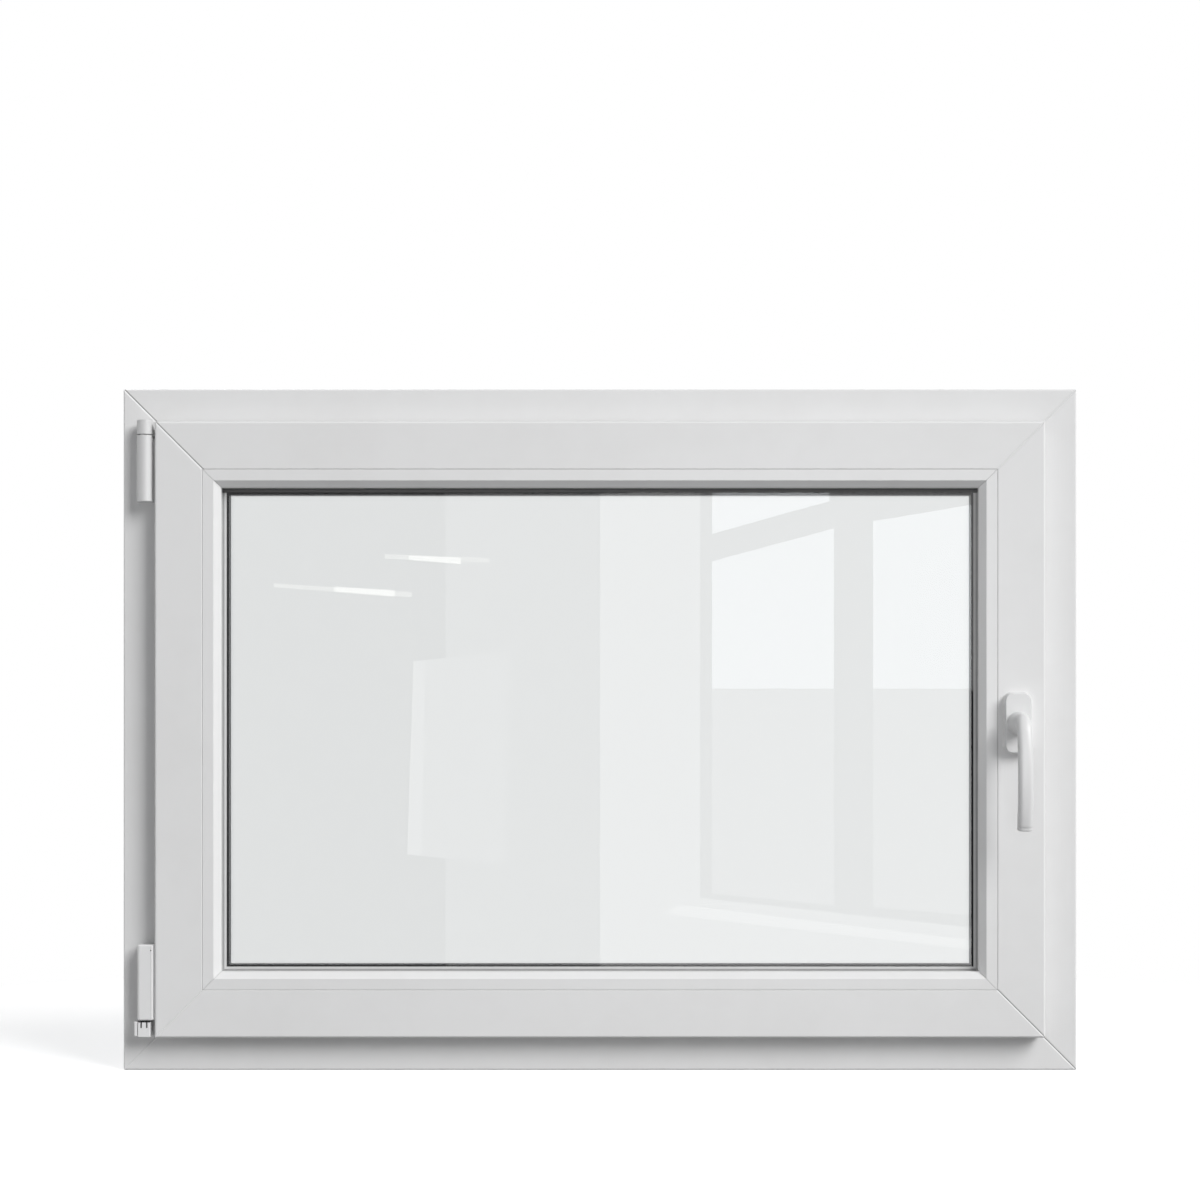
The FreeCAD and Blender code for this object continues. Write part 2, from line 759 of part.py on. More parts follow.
def front_rim(shape):
    """The edges that lie in a shape's foremost plane."""
    front_y = shape.BoundBox.YMin
    return [e for e in shape.Edges if e.BoundBox.YMax < front_y + 0.01]


def handle_rosette():
    """The handle's plate: a drafted oblong with round corners and a hole for the lever's neck."""
    w = rosette_width / 2
    h = rosette_height / 2
    corners = [(a, b, rosette_corner) for a, b in ((-w, -h), (w, -h), (w, h), (-w, h))]
    face = section_face(corners, lambda a, b: Vector(handle_x + a, sash_room_face, handle_height + b))
    plate = face.extrude(Vector(0, -rosette_thickness, 0))
    front_y = sash_room_face - rosette_thickness
    plate = plate.makeChamfer(rosette_draft_depth, rosette_draft, front_rim(plate))
    plate = plate.makeChamfer(rosette_edge, rosette_edge / 2, front_rim(plate))
    mouth = Vector(handle_x, front_y - 1, handle_height)
    hole = Part.makeCylinder(spindle_hole_radius, rosette_thickness + 2, mouth, Vector(0, 1, 0))
    return plate.cut(hole)


def grip_face(centre, lean, inset=0.0):
    """The lever's oval section about a point, where lean turns from straight out (0) to straight down (90).

    Its round corners are drawn as short chords, which keeps the bent faces light.
    """
    turn = math.radians(lean)
    across = Vector(0, -math.sin(turn), math.cos(turn))
    w = grip_half_width - grip_corner
    d = grip_half_depth - grip_corner
    r = grip_corner - inset
    points = []
    for corner, (side, rise) in enumerate(((w, d), (-w, d), (-w, -d), (w, -d))):
        for i in range(grip_chords + 1):
            angle = math.pi / 2 * (corner + i / grip_chords)
            point = Vector(side + r * math.cos(angle), 0, 0) + across * (rise + r * math.sin(angle))
            points.append(centre + point)
    return Part.Face(Part.makePolygon(points + points[:1]))


def handle_lever():
    """The lever: a round tapered boss, a neck that bends down, and a grip that bows away from the sash."""
    foot = Vector(handle_x, sash_room_face - rosette_thickness - 0.3, handle_height)
    out = Vector(0, -1, 0)
    length = boss_height - boss_base
    taper = Part.makeCone(boss_radius, boss_front_radius, length, foot + out * boss_base, out)
    taper = taper.makeChamfer(boss_bevel, front_rim(taper))
    boss = Part.makeCylinder(boss_radius, boss_base, foot, out).fuse(taper)
    bend = foot - Vector(0, neck_reach, 0)
    start = grip_face(foot - Vector(0, boss_height / 2, 0), 0)
    neck = start.extrude(Vector(0, boss_height / 2 - neck_reach, 0))
    pivot = bend - Vector(0, 0, neck_bend)
    bend_angle = 90 - grip_lean
    elbow = grip_face(bend, 0).revolve(pivot, Vector(1, 0, 0), bend_angle)
    turn = math.radians(bend_angle)
    top = pivot + Vector(0, -math.sin(turn), math.cos(turn)) * neck_bend
    lean = math.radians(grip_lean)
    cap_drop = grip_cap * math.cos(lean)
    drop = top.z - (handle_height - lever_length) - cap_drop - grip_half_depth * math.sin(lean)
    bow = drop / (2 * math.sin(lean))
    middle = top + Vector(0, math.cos(lean), -math.sin(lean)) * bow
    grip = grip_face(top, bend_angle).revolve(middle, Vector(1, 0, 0), 2 * grip_lean)
    foot_end = top - Vector(0, 0, drop)
    cap = grip_face(foot_end, 90 + grip_lean, grip_cap_step)
    cap = cap.extrude(Vector(0, math.sin(lean), -math.cos(lean)) * grip_cap)
    cap_end = max(cap.Faces, key=lambda face: -face.CenterOfMass.z)
    cap = cap.makeChamfer(grip_end_bevel, cap_end.Edges)
    return boss.fuse([neck, elbow, grip, cap]).removeSplitter()


def handle_spindle():
    """The square spindle, from the lever's foot into the sash."""
    front = sash_room_face - rosette_thickness - 0.3
    s = spindle_side / 2
    return block(handle_x - s, handle_x + s, front, sash_room_face + spindle_depth - 2, handle_height - s,
                 handle_height + s)


def drain_caps():
    """Hooded caps over the drain slots on the outside of the sill, open at the bottom."""
    made = []
    low = frame_body / 2 - drain_cap_height / 2
    front = outer_face + drain_cap_depth
    half = drain_cap_length / 2
    for x in drain_places():
        cap = block(x - half, x + half, outer_face, front, low, low + drain_cap_height)
        rims = [e for e in cap.Edges if e.BoundBox.YMin > front - 0.01 and e.BoundBox.ZMax > low + 0.01]
        cap = cap.makeChamfer(drain_cap_bevel, rims)
        hollow = block(x - half + drain_cap_wall, x + half - drain_cap_wall, outer_face + drain_cap_wall,
                       front - drain_cap_wall, low - 1, low + drain_cap_height - 2 * drain_cap_wall)
        made.append(cap.cut(hollow))
    return Part.makeCompound(made)


def build():
    """Every node's shape, by name."""
    names = {"left": "left", "right": "right", "top": "top", "bottom": "bottom"}
    nodes = {}
    for side, bar in frame_members().items():
        nodes["frame_" + names[side]] = bar
    for side, bar in sash_members().items():
        nodes["sash_" + names[side]] = bar
    for side in sides:
        nodes["bead_" + names[side]] = member(side, bead_section(), bead_joint_gap)
    nodes["frame_seal"] = frame_seal()
    nodes["sash_seal"] = sash_seal()
    nodes["gasket_inside"] = glazing_gasket(True)
    nodes["gasket_outside"] = glazing_gasket(False)
    nodes["glass_inner_pane"] = pane(glass_in)
    nodes["glass_outer_pane"] = pane(glass_out - pane_thickness)
    spacer_top = glazing_floor + spacer_sight
    nodes["spacer_bar"] = cavity_ring(spacer_top - spacer_height, spacer_top)
    nodes["edge_sealant"] = cavity_ring(glass_edge, spacer_top - spacer_height)
    nodes["glazing_blocks"] = glazing_blocks()
    inner = sash_body_edge + rebate_air_gap
    upright_cams = (cam_from_corner, window_height - cam_from_corner)
    level_cams = (window_width * 0.3, window_width * 0.78)
    nodes["faceplate_right"] = faceplate("right", inner, window_height - inner, upright_cams)
    nodes["faceplate_top"] = faceplate("top", inner, window_width - inner, level_cams[1:])
    nodes["faceplate_bottom"] = faceplate("bottom", inner, window_width - inner, level_cams)
    rod_start = inner + rod_width
    nodes["drive_rods"] = Part.makeCompound([
        drive_rod("right", rod_start, window_height - rod_start),
        drive_rod("top", hinge_inset + arm_length, window_width - rod_start),
        drive_rod("bottom", rod_start, window_width - rod_start),
    ])
    nodes["cams_right"] = Part.makeCompound([cam("right", a) for a in upright_cams])
    nodes["cams_bottom"] = Part.makeCompound([cam("bottom", a) for a in level_cams])
    nodes["cam_top"] = cam("top", level_cams[1])
    nodes["strikers_right"] = Part.makeCompound([striker("right", a) for a in upright_cams])
    nodes["strikers_bottom"] = Part.makeCompound([striker("bottom", a) for a in level_cams])
    nodes["striker_top"] = striker("top", level_cams[1])
    nodes["pivot_rest"] = pivot_rest()
    nodes["pivot_pin"] = pivot_pin()
    nodes["lower_hinge"] = lower_sash_hinge()
    nodes["lower_hinge_cover"] = lower_hinge_cover()
    nodes["stay_bearing"] = stay_bearing()
    nodes["bearing_cover"] = bearing_cover()
    nodes["stay_arm"] = stay_arm()
    nodes["stay_knuckle"] = stay_knuckle()
    nodes["stay_shoe"] = stay_shoe()
    nodes["handle_rosette"] = handle_rosette()
    nodes["handle_lever"] = handle_lever()
    nodes["handle_spindle"] = handle_spindle()
    nodes["drain_caps"] = drain_caps()
    return nodes


os.makedirs("parts", exist_ok=True)
for name, shape in build().items():
    shape.exportStep("parts/" + name + ".step")
    print(name, len(shape.Solids), "solids", shape.isValid(), round(shape.Volume / 1000, 1), "cm3")
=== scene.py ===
# %% [markdown]
# # Tilt and turn window, seen from the room
#
# The construction of this window was made elsewhere, as exact solids, and those solids are loaded
# here as a fixed frame. This script only dresses them: it mixes a finish for every piece, adds the
# small metal parts that are too fine for the solids, and sets up a plain studio.
#
# All sizes are in metres. The window faces the camera along -Y, X runs to the right, Z runs up, and
# the origin is the middle of the frame's bottom face.

# %% Load the frame
import math

import bmesh
import bpy
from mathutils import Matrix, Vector


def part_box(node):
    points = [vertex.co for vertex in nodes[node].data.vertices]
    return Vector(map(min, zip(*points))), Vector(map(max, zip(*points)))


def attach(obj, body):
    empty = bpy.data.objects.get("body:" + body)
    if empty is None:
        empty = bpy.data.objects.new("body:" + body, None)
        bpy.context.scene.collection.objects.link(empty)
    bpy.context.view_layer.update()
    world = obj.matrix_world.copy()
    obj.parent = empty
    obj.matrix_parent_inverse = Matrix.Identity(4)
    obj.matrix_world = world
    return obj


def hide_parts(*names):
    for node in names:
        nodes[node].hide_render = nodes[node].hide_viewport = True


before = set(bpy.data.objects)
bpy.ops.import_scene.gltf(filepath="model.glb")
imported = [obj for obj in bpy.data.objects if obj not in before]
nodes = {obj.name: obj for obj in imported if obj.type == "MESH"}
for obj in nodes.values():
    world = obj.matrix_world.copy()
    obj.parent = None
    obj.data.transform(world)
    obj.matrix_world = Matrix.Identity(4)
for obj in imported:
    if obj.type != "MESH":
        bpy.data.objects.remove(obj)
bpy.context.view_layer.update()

# %% [markdown]
# ## A short way to write shader maths
#
# A finish in Blender is a graph of nodes. Writing the graph out link by link hides what it does, so
# a wire is wrapped here in a small class: adding or multiplying two wires adds the Math node that
# does it. Every other node comes from one method, which sets the node's own options first and then
# fills its sockets with numbers or with other wires.

# %% Shader maths and the Finish helper
class Wire:
    """One output of a shader node. Sums and products of wires add Math nodes."""

    def __init__(self, finish, socket):
        self.finish = finish
        self.socket = socket

    def maths(self, operation, first, second=None):
        inputs = {0: first}
        if second is not None:
            inputs[1] = second
        return self.finish.node("Math", {"operation": operation}, inputs)

    def __add__(self, other):
        return self.maths("ADD", self, other)

    __radd__ = __add__

    def __sub__(self, other):
        return self.maths("SUBTRACT", self, other)

    def __rsub__(self, other):
        return self.maths("SUBTRACT", other, self)

    def __mul__(self, other):
        return self.maths("MULTIPLY", self, other)

    __rmul__ = __mul__

    def __pow__(self, other):
        return self.maths("POWER", self, other)

    def __abs__(self):
        return self.maths("ABSOLUTE", self)

    def most(self, other):
        return self.maths("MAXIMUM", self, other)


class Finish:
    """The shader graph of a new material, or of a new world, under construction."""

    def __init__(self, name, library="materials"):
        self.owner = getattr(bpy.data, library).new(name)
        self.owner.use_nodes = True
        self.tree = self.owner.node_tree
        self.tree.nodes.clear()

    def node(self, kind, settings=None, inputs=None, out=0):
        made = self.tree.nodes.new("ShaderNode" + kind)
        for key, value in (settings or {}).items():
            setattr(made, key, value)
        for key, value in (inputs or {}).items():
            if isinstance(value, Wire):
                self.tree.links.new(value.socket, made.inputs[key])
            else:
                made.inputs[key].default_value = value
        return Wire(self, made.outputs[out]) if len(made.outputs) else None

    def place(self):
        """The point of the surface, in metres from the window's origin."""
        return self.node("TexCoord", out="Object")

    def split(self, vector):
        made = self.node("SeparateXYZ", inputs={0: vector}).socket.node
        return [Wire(self, made.outputs[i]) for i in range(3)]

    def stretched(self, scale):
        return self.node("Mapping", inputs={"Vector": self.place(), "Scale": scale})

    def noise(self, vector, scale, detail=2.0, roughness=0.5):
        inputs = {"Vector": vector, "Scale": scale, "Detail": detail, "Roughness": roughness}
        return self.node("TexNoise", inputs=inputs)

    def remap(self, value, low, high, to_low=0.0, to_high=1.0):
        inputs = {0: value, 1: low, 2: high, 3: to_low, 4: to_high}
        return self.node("MapRange", {"clamp": True}, inputs)

    def mix(self, share, first, second):
        return self.node("Mix", {"data_type": "RGBA"}, {0: share, 6: first, 7: second}, out=2)

    def bump(self, height, distance, normal=None):
        inputs = {"Strength": 1.0, "Distance": distance, "Height": height}
        if normal is not None:
            inputs["Normal"] = normal
        return self.node("Bump", inputs=inputs)

    def surface(self, **values):
        """Ends the graph in a Principled shader. Socket names are written with underscores."""
        inputs = {key.replace("_", " "): value for key, value in values.items()}
        shader = self.node("BsdfPrincipled", inputs=inputs)
        self.node("OutputMaterial", inputs={"Surface": shader})
        return self.owner


def tone(level, warmth=0.0):
    """A near-white or grey as linear red, green, blue and alpha."""
    return (level * (1 + warmth), level, level * (1 - warmth), 1.0)


print("shader helpers ready")

# %% [markdown]
# ## White PVC
#
# The frame and sash are cut from extruded bars. Up close such a bar isn't one flat white: the die
# leaves faint streaks along its length, the shine varies a little where hands and rain have been,
# and a thin grey line of dirt stays in the trimmed weld at each mitre.
#
# The streaks come from noise that is squeezed across the bar and stretched along it, so an upright
# and a level bar need one finish each. The mitre line is worked out from the distance to the
# diagonals of the corners, which are at 45 degrees on a window. On the welds at the top left and
# the bottom right, the upper right wall of the groove also gets that grey as painted shade. That is
# the wall which turns away from the light.

# %% White PVC for upright and level bars
frame_low = Vector(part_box("frame_bottom")[0])
frame_high = Vector(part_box("frame_top")[1])
window_half_width = frame_high.x
window_height = frame_high.z
print("window:", round(2 * window_half_width, 4), "by", round(window_height, 4))

white = tone(0.78, 0.002)
white_soiled = tone(0.70, 0.008)
# The grey of the dirt in the weld line, also used as painted shade on one wall of two welds.
weld_dirt_and_shade = tone(0.44, 0.01)
weld_line_half = 0.0005
weld_wall_width = 0.0013
mask_edge = 0.0002


def mitre_marks(finish):
    """Two masks: the fine line of dirt in the four mitres, and one wall of a weld for painted shade.

    The second one is painted shade. It is 1 on the upper right wall of the welds at the top left and
    the bottom right, which is the wall that turns away from the light.
    """
    x, y, z = finish.split(finish.place())
    from_side = window_half_width - abs(x)
    half_height = window_height / 2
    from_end = half_height - abs(z - half_height)
    aside = (from_side - from_end) * math.sqrt(0.5)
    line = finish.remap(abs(aside), 0.0001, weld_line_half, 1.0, 0.0)
    upper_right = 0 - aside * finish.node("Math", {"operation": "SIGN"}, {0: x})
    falling = finish.remap(x * (z - half_height), -0.0001, 0.0001, 1.0, 0.0)
    rise = finish.remap(upper_right, 0.0, mask_edge)
    fall = finish.remap(upper_right, weld_wall_width - mask_edge, weld_wall_width, 1.0, 0.0)
    return line, rise * fall * falling


def white_pvc(name, along, dirt=0.02, wall_shade=0.95, shine=0.30):
    finish = Finish(name)
    across = {"x": (0.6, 60.0, 60.0), "z": (60.0, 60.0, 0.6)}[along]
    streaks = finish.noise(finish.stretched(across), 14.0, 3.0, 0.6)
    clouds = finish.noise(finish.place(), 7.0, 3.0, 0.55)
    film = finish.noise(finish.place(), 38.0, 2.0, 0.5)
    skin = finish.noise(finish.place(), 1400.0, 2.0, 0.6)
    soiling = finish.remap(clouds * 0.7 + film * 0.3, 0.44, 0.66) * 0.28
    colour = finish.mix(soiling, white, white_soiled)
    weld, wall = mitre_marks(finish)
    # The weld line is real dirt; the wall mask lays painted shade in the same grey.
    colour = finish.mix((weld * dirt).most(wall * wall_shade), colour, weld_dirt_and_shade)
    rough = shine + 0.10 * streaks + 0.10 * clouds + 0.15 * weld
    relief = finish.bump(skin, 0.00002)
    relief = finish.bump(streaks, 0.00006, normal=relief)
    return finish.surface(Base_Color=colour, Roughness=rough, Normal=relief, Specular_IOR_Level=0.35)


pvc = {"upright": white_pvc("pvc_upright", "z"), "level": white_pvc("pvc_level", "x")}
bead_pvc = {
    "upright": white_pvc("bead_upright", "z", dirt=0.35, wall_shade=0.0, shine=0.26),
    "level": white_pvc("bead_level", "x", dirt=0.35, wall_shade=0.0, shine=0.26),
}
print("materials:", [m.name for m in bpy.data.materials if "upright" in m.name or "level" in m.name])

# %% [markdown]
# ## Seals and gaskets
#
# The seals are a soft grey plastic pressed into grooves. It scatters light almost evenly, with a
# faint bloom, and a fine ripple along its length where it was pushed into its groove. On the
# glazing gasket the lip on the pane is paler, a painted highlight of the glass's reflection there,
# and the upper run is much darker, painted shade under the top bead.

# %% Grey seal
def soft_seal(name, level, bloom, lip_highlight_level=None):
    """A seal of one tone, or a gasket with a paler lip on the pane, a painted highlight, and a darker
    upper run, painted shade.
    """
    finish = Finish(name)
    ripple = finish.noise(finish.place(), 160.0, 2.0, 0.5)
    grain = finish.noise(finish.place(), 2200.0, 2.0, 0.6)
    dust = finish.remap(finish.noise(finish.place(), 22.0, 4.0, 0.6), 0.42, 0.70)
    colour = finish.mix(dust * bloom, tone(level), tone(level * 1.5 + 0.03))
    if lip_highlight_level is not None:
        x, y, z = finish.split(finish.place())
        # Painted highlight: the lip on the pane gets a paler grey.
        lip_highlight = finish.remap(y, pane_face - lip_height - mask_edge, pane_face - lip_height)
        colour = finish.mix(lip_highlight, colour, tone(lip_highlight_level))
        # Painted shade: the upper run, under the top bead, gets a much darker grey.
        run_bottom = gasket_top - gasket_run_height
        upper_run_shade = finish.remap(z, run_bottom - mask_edge, run_bottom)
        colour = finish.mix(upper_run_shade, colour, tone(upper_run_shade_level))
    relief = finish.bump(grain, 0.00003)
    relief = finish.bump(ripple, 0.00012, normal=relief)
    rough = 0.52 + 0.12 * ripple
    return finish.surface(Base_Color=colour, Roughness=rough, Normal=relief)


pane_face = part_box("glass_inner_pane")[0][1]
lip_height = 0.0007
gasket_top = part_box("gasket_inside")[1][2]
gasket_run_height = 0.0092
# The upper run's grey is painted shade.
upper_run_shade_level = 0.06
gasket_grey = soft_seal("gasket_grey", 0.28, 0.20, lip_highlight_level=0.52)
outer_gasket_grey = soft_seal("outer_gasket_grey", 0.34, 0.30)
seal_grey = soft_seal("seal_grey", 0.22, 0.30)
sealant_black = soft_seal("sealant_black", 0.02, 0.10)
print("seals mixed")

# %% [markdown]
# ## The glass unit
#
# Two clear panes stand 16 mm apart. Float glass has a faint green edge and lets through about nine
# tenths of the light. Real refraction is used here, because it also gives the double reflections.
# Dust and dried drops make small pale specks, which mostly show as a change of roughness.
#
# The spacer between the panes is black. The side that faces the cavity has two rows of fine holes,
# through which a drying powder keeps the cavity free of mist. The holes are dented by a bump and
# painted near black, as painted shade.

# %% Glass and spacer
glass_tint = (0.855, 0.863, 0.863, 1.0)
spacer_tint = (0.038, 0.043, 0.054, 1.0)


def clear_glass(name):
    finish = Finish(name)
    smears = finish.remap(finish.noise(finish.stretched((1.0, 1.0, 2.2)), 5.0, 4.0, 0.6), 0.50, 0.80)
    specks = finish.node("TexVoronoi", {"feature": "F1"}, {"Vector": finish.place(), "Scale": 55.0})
    dots = finish.remap(specks, 0.0, 0.035, 1.0, 0.0)
    rough = smears * 0.020 + dots * 0.35
    return finish.surface(Base_Color=glass_tint, Roughness=rough, IOR=1.5, Transmission_Weight=1.0)


def perforated_spacer(name):
    finish = Finish(name)
    pitch = 0.004
    hole_radius = 0.0005
    hole_edge = 0.0001
    spacer_middle_y = -0.019
    row_offset = 0.0035
    corner_x = window_half_width - 0.12
    turn_width = 0.01
    x, y, z = finish.split(finish.place())
    upright = finish.remap(abs(x), corner_x - turn_width, corner_x)
    along = z * upright + x * (1 - upright)
    cell = finish.node("Math", {"operation": "PINGPONG"}, {0: along, 1: pitch / 2})
    row = abs(abs(y - spacer_middle_y) - row_offset)
    away = (cell * cell + row * row) ** 0.5
    hole = finish.remap(away, hole_radius - hole_edge, hole_radius + hole_edge, 1.0, 0.0)
    grain = finish.noise(finish.place(), 900.0, 2.0, 0.6)
    # Painted shade: the holes are made near black, besides the dent of the bump.
    colour = finish.mix(hole, spacer_tint, tone(0.004))
    relief = finish.bump(1 - hole, 0.0004)
    relief = finish.bump(grain, 0.00004, normal=relief)
    rough = 0.42 + 0.1 * grain
    return finish.surface(Base_Color=colour, Roughness=rough, Normal=relief, Specular_IOR_Level=0.2)


glass = clear_glass("float_glass")
spacer_black = perforated_spacer("spacer_black")
print("glass unit mixed")

# %% [markdown]
# ## Metal parts, covers and blocks
#
# The gear in the rebate is zinc-plated steel: bright, slightly blue, with soft cloudy patches from
# the bath and fine lines from rolling. The handle and hinges have a white powder coat, which is
# smooth from afar and has a fine orange-peel ripple close up. The hinge covers are moulded in white
# plastic with a fine spark grain, and the blocks under the glass in blue.

# %% Metal, coats and moulded plastic
hole_inside, hole_outside = 0.0006, 0.0009
zinc_blue = (0.56, 0.58, 0.60, 1.0)
zinc_yellow = (0.70, 0.69, 0.66, 1.0)
block_dark = (0.05, 0.10, 0.22, 1.0)
block_pale = (0.09, 0.15, 0.28, 1.0)


def plated_steel(name):
    finish = Finish(name)
    bath = finish.noise(finish.place(), 45.0, 4.0, 0.6)
    rolled = finish.noise(finish.stretched((1.0, 40.0, 1.0)), 60.0, 3.0, 0.6)
    grain = finish.noise(finish.place(), 1600.0, 2.0, 0.6)
    shade = finish.remap(bath, 0.35, 0.70)
    colour = finish.mix(shade, zinc_blue, zinc_yellow)
    relief = finish.bump(grain, 0.00002)
    relief = finish.bump(rolled, 0.00004, normal=relief)
    rough = 0.26 + 0.16 * bath
    return finish.surface(Base_Color=colour, Metallic=1.0, Roughness=rough, Normal=relief)


def powder_coat(name, level, ripple_depth):
    finish = Finish(name)
    ripple = finish.noise(finish.place(), 520.0, 1.0, 0.4)
    clouds = finish.noise(finish.place(), 30.0, 3.0, 0.5)
    handled = finish.remap(clouds, 0.45, 0.70)
    colour = finish.mix(handled * 0.25, tone(level, 0.001), tone(level * 0.93, 0.004))
    relief = finish.bump(ripple, ripple_depth)
    return finish.surface(Base_Color=colour, Roughness=0.30 + 0.12 * clouds, Normal=relief)


def coat_with_bush_shade(name, level):
    """White coat outside, and black inside the pivot rest where its notches show: a black bush, whose
    black also paints the deep shade in the notches.
    """
    finish = Finish(name)
    low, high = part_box("pivot_rest")
    front = low[1]
    left_flange, right_flange = 0.0036, 0.0027
    body_left, body_right = low[0] + left_flange, high[0] - right_flange
    wall = 0.0007
    base_height = 0.0015
    sill = low[2] + base_height
    x, y, z = finish.split(finish.place())
    deep = finish.remap(y, front + wall, front + wall + mask_edge)
    right_of = finish.remap(x, body_left + wall, body_left + wall + mask_edge)
    left_of = finish.remap(x, body_right - wall - mask_edge, body_right - wall, 1.0, 0.0)
    above = finish.remap(z, sill, sill + mask_edge)
    # Painted shade: the inside of the notches is made near black.
    bush_shade = deep * right_of * left_of * above
    grain = finish.noise(finish.place(), 700.0, 2.0, 0.5)
    colour = finish.mix(bush_shade, tone(level, 0.001), tone(0.012))
    rough = 0.34 + 0.10 * grain
    return finish.surface(Base_Color=colour, Roughness=rough, Normal=finish.bump(grain, 0.00002))


def moulded_white(name, level, hole=None):
    """Moulded plastic, with a dark spot of painted shade for a hole at a point (x, z) of its room side
    if one is named.
    """
    finish = Finish(name)
    spark = finish.noise(finish.place(), 1100.0, 3.0, 0.7)
    clouds = finish.noise(finish.place(), 40.0, 2.0, 0.5)
    colour = finish.mix(clouds * 0.3, tone(level), tone(level * 0.95, 0.004))
    if hole is not None:
        x, y, z = finish.split(finish.place())
        aside, upward = x - hole[0], z - hole[1]
        away = (aside * aside + upward * upward) ** 0.5
        # Painted shade: a dark spot stands for the hole, which the solid doesn't have.
        colour = finish.mix(finish.remap(away, hole_inside, hole_outside, 1.0, 0.0), colour, tone(0.10))
    relief = finish.bump(spark, 0.00003)
    return finish.surface(Base_Color=colour, Roughness=0.40 + 0.08 * spark, Normal=relief)


def moulded_block(name):
    finish = Finish(name)
    flow = finish.noise(finish.place(), 90.0, 3.0, 0.6)
    colour = finish.mix(flow, block_dark, block_pale)
    rough = 0.45 + 0.1 * flow
    return finish.surface(Base_Color=colour, Roughness=rough, Normal=finish.bump(flow, 0.0001))


steel = plated_steel("plated_steel")
hinge_coat = powder_coat("hinge_coat", 0.72, 0.00004)
handle_coat = powder_coat("handle_coat", 0.71, 0.00003)
plate_coat = powder_coat("plate_coat", 0.72, 0.00003)
rest_coat = coat_with_bush_shade("rest_coat", 0.78)
cover_white = moulded_white("cover_white", 0.77)
# The lower cover's hole is a dark spot of painted shade near its top.
cover_low, cover_high = (Vector(c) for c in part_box("lower_hinge_cover"))
hole_share, hole_drop = 0.80, 0.0060
hole_x = cover_low.x + hole_share * (cover_high.x - cover_low.x)
cover_hole_shade = (hole_x, cover_high.z - hole_drop)
lower_cover_white = moulded_white("lower_cover_white", 0.77, hole=cover_hole_shade)
barrel_white = moulded_white("barrel_white", 0.66)
# Near black for the pin in the pivot rest, as painted shade in its notches.
bush_black = soft_seal("bush_black", 0.014, 0.05)
block_blue = moulded_block("block_blue")
print("materials so far:", len(bpy.data.materials))

# %% [markdown]
# ## Dressing the solids
#
# Every solid gets the finish of the real piece. The bars are told apart by the side that they are
# on, which their names end in.

# %% Give each solid its finish
side_run = {"left": "upright", "right": "upright", "top": "level", "bottom": "level"}
plain_finish = {
    "frame_seal": seal_grey,
    "sash_seal": seal_grey,
    "gasket_inside": gasket_grey,
    "gasket_outside": outer_gasket_grey,
    "glass_inner_pane": glass,
    "glass_outer_pane": glass,
    "spacer_bar": spacer_black,
    "edge_sealant": sealant_black,
    "glazing_blocks": block_blue,
    "pivot_rest": rest_coat,
    "lower_hinge": hinge_coat,
    "stay_bearing": hinge_coat,
    "lower_hinge_cover": lower_cover_white,
    "bearing_cover": barrel_white,
    "stay_knuckle": barrel_white,
    # The pin is painted near black, the shade in the rest's notches.
    "pivot_pin": bush_black,
    "drain_caps": cover_white,
    "handle_rosette": plate_coat,
    "handle_lever": handle_coat,
}


def finish_of(name):
    if name in plain_finish:
        return plain_finish[name]
    group, side = name.rsplit("_", 1)
    if group in ("frame", "sash"):
        return pvc[side_run[side]]
    if group == "bead":
        return bead_pvc[side_run[side]]
    return steel


def dress(thing, material):
    """Puts one finish in all the object's slots."""
    for material_slot in thing.material_slots:
        material_slot.link = "DATA"
        material_slot.material = material
    if not thing.material_slots:
        thing.data.materials.append(material)


for name, thing in nodes.items():
    dress(thing, finish_of(name))
print("dressed:", len(nodes))

# %% [markdown]
# ## The handle's lever
#
# The solid draws the lever's rounded section with short chords, to stay light. Here the same lever is
# drawn smoothly and in one skin: a round boss tapers as it stands out from the plate, swings through
# the bend into a soft oval section, and goes on as a grip that bows slightly away from the sash. Near
# its end a fine groove marks the cap, and the end itself is rounded.
#
# The path is a list of stations, each with its place, its direction and the size of its section. Rows
# of vertices on the stations are then joined into a tube, whose ends close in a point.

# %% Rings of vertices joined into a closed skin
def skin(bm, rings, start, end):
    """Joins rings of points, each given as a list, and closes both ends in a point."""
    rows = [[bm.verts.new(point) for point in ring] for ring in rings]
    count = len(rows[0])
    for row, following in zip(rows, rows[1:]):
        for i in range(count):
            j = (i + 1) % count
            bm.faces.new((row[i], row[j], following[j], following[i]))
    for row, tip in ((rows[0], start), (rows[-1], end)):
        middle = bm.verts.new(tip)
        for i in range(count):
            bm.faces.new((row[i], row[(i + 1) % count], middle))


oval_points = 64


def oval(half_width, half_depth, roundness):
    """A soft oval between an ellipse and a rectangle, as pairs across and along the depth."""
    points = []
    for i in range(oval_points):
        angle = 2 * math.pi * i / oval_points
        c, s = math.cos(angle), math.sin(angle)
        across = math.copysign(abs(c) ** (2 / roundness), c) * half_width
        depth = math.copysign(abs(s) ** (2 / roundness), s) * half_depth
        points.append((across, depth))
    return points


def finished_mesh(bm, name, material, body):
    """Makes a smooth object of a bmesh, with its faces outward, that rides on a body."""
    bmesh.ops.recalc_face_normals(bm, faces=bm.faces)
    mesh = bpy.data.meshes.new(name)
    bm.to_mesh(mesh)
    bm.free()
    mesh.polygons.foreach_set("use_smooth", [True] * len(mesh.polygons))
    mesh.materials.append(material)
    made = bpy.data.objects.new(name, mesh)
    bpy.context.scene.collection.objects.link(made)
    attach(made, body)
    print(name, "faces:", len(mesh.polygons))
    return made


print("mesh helpers ready")

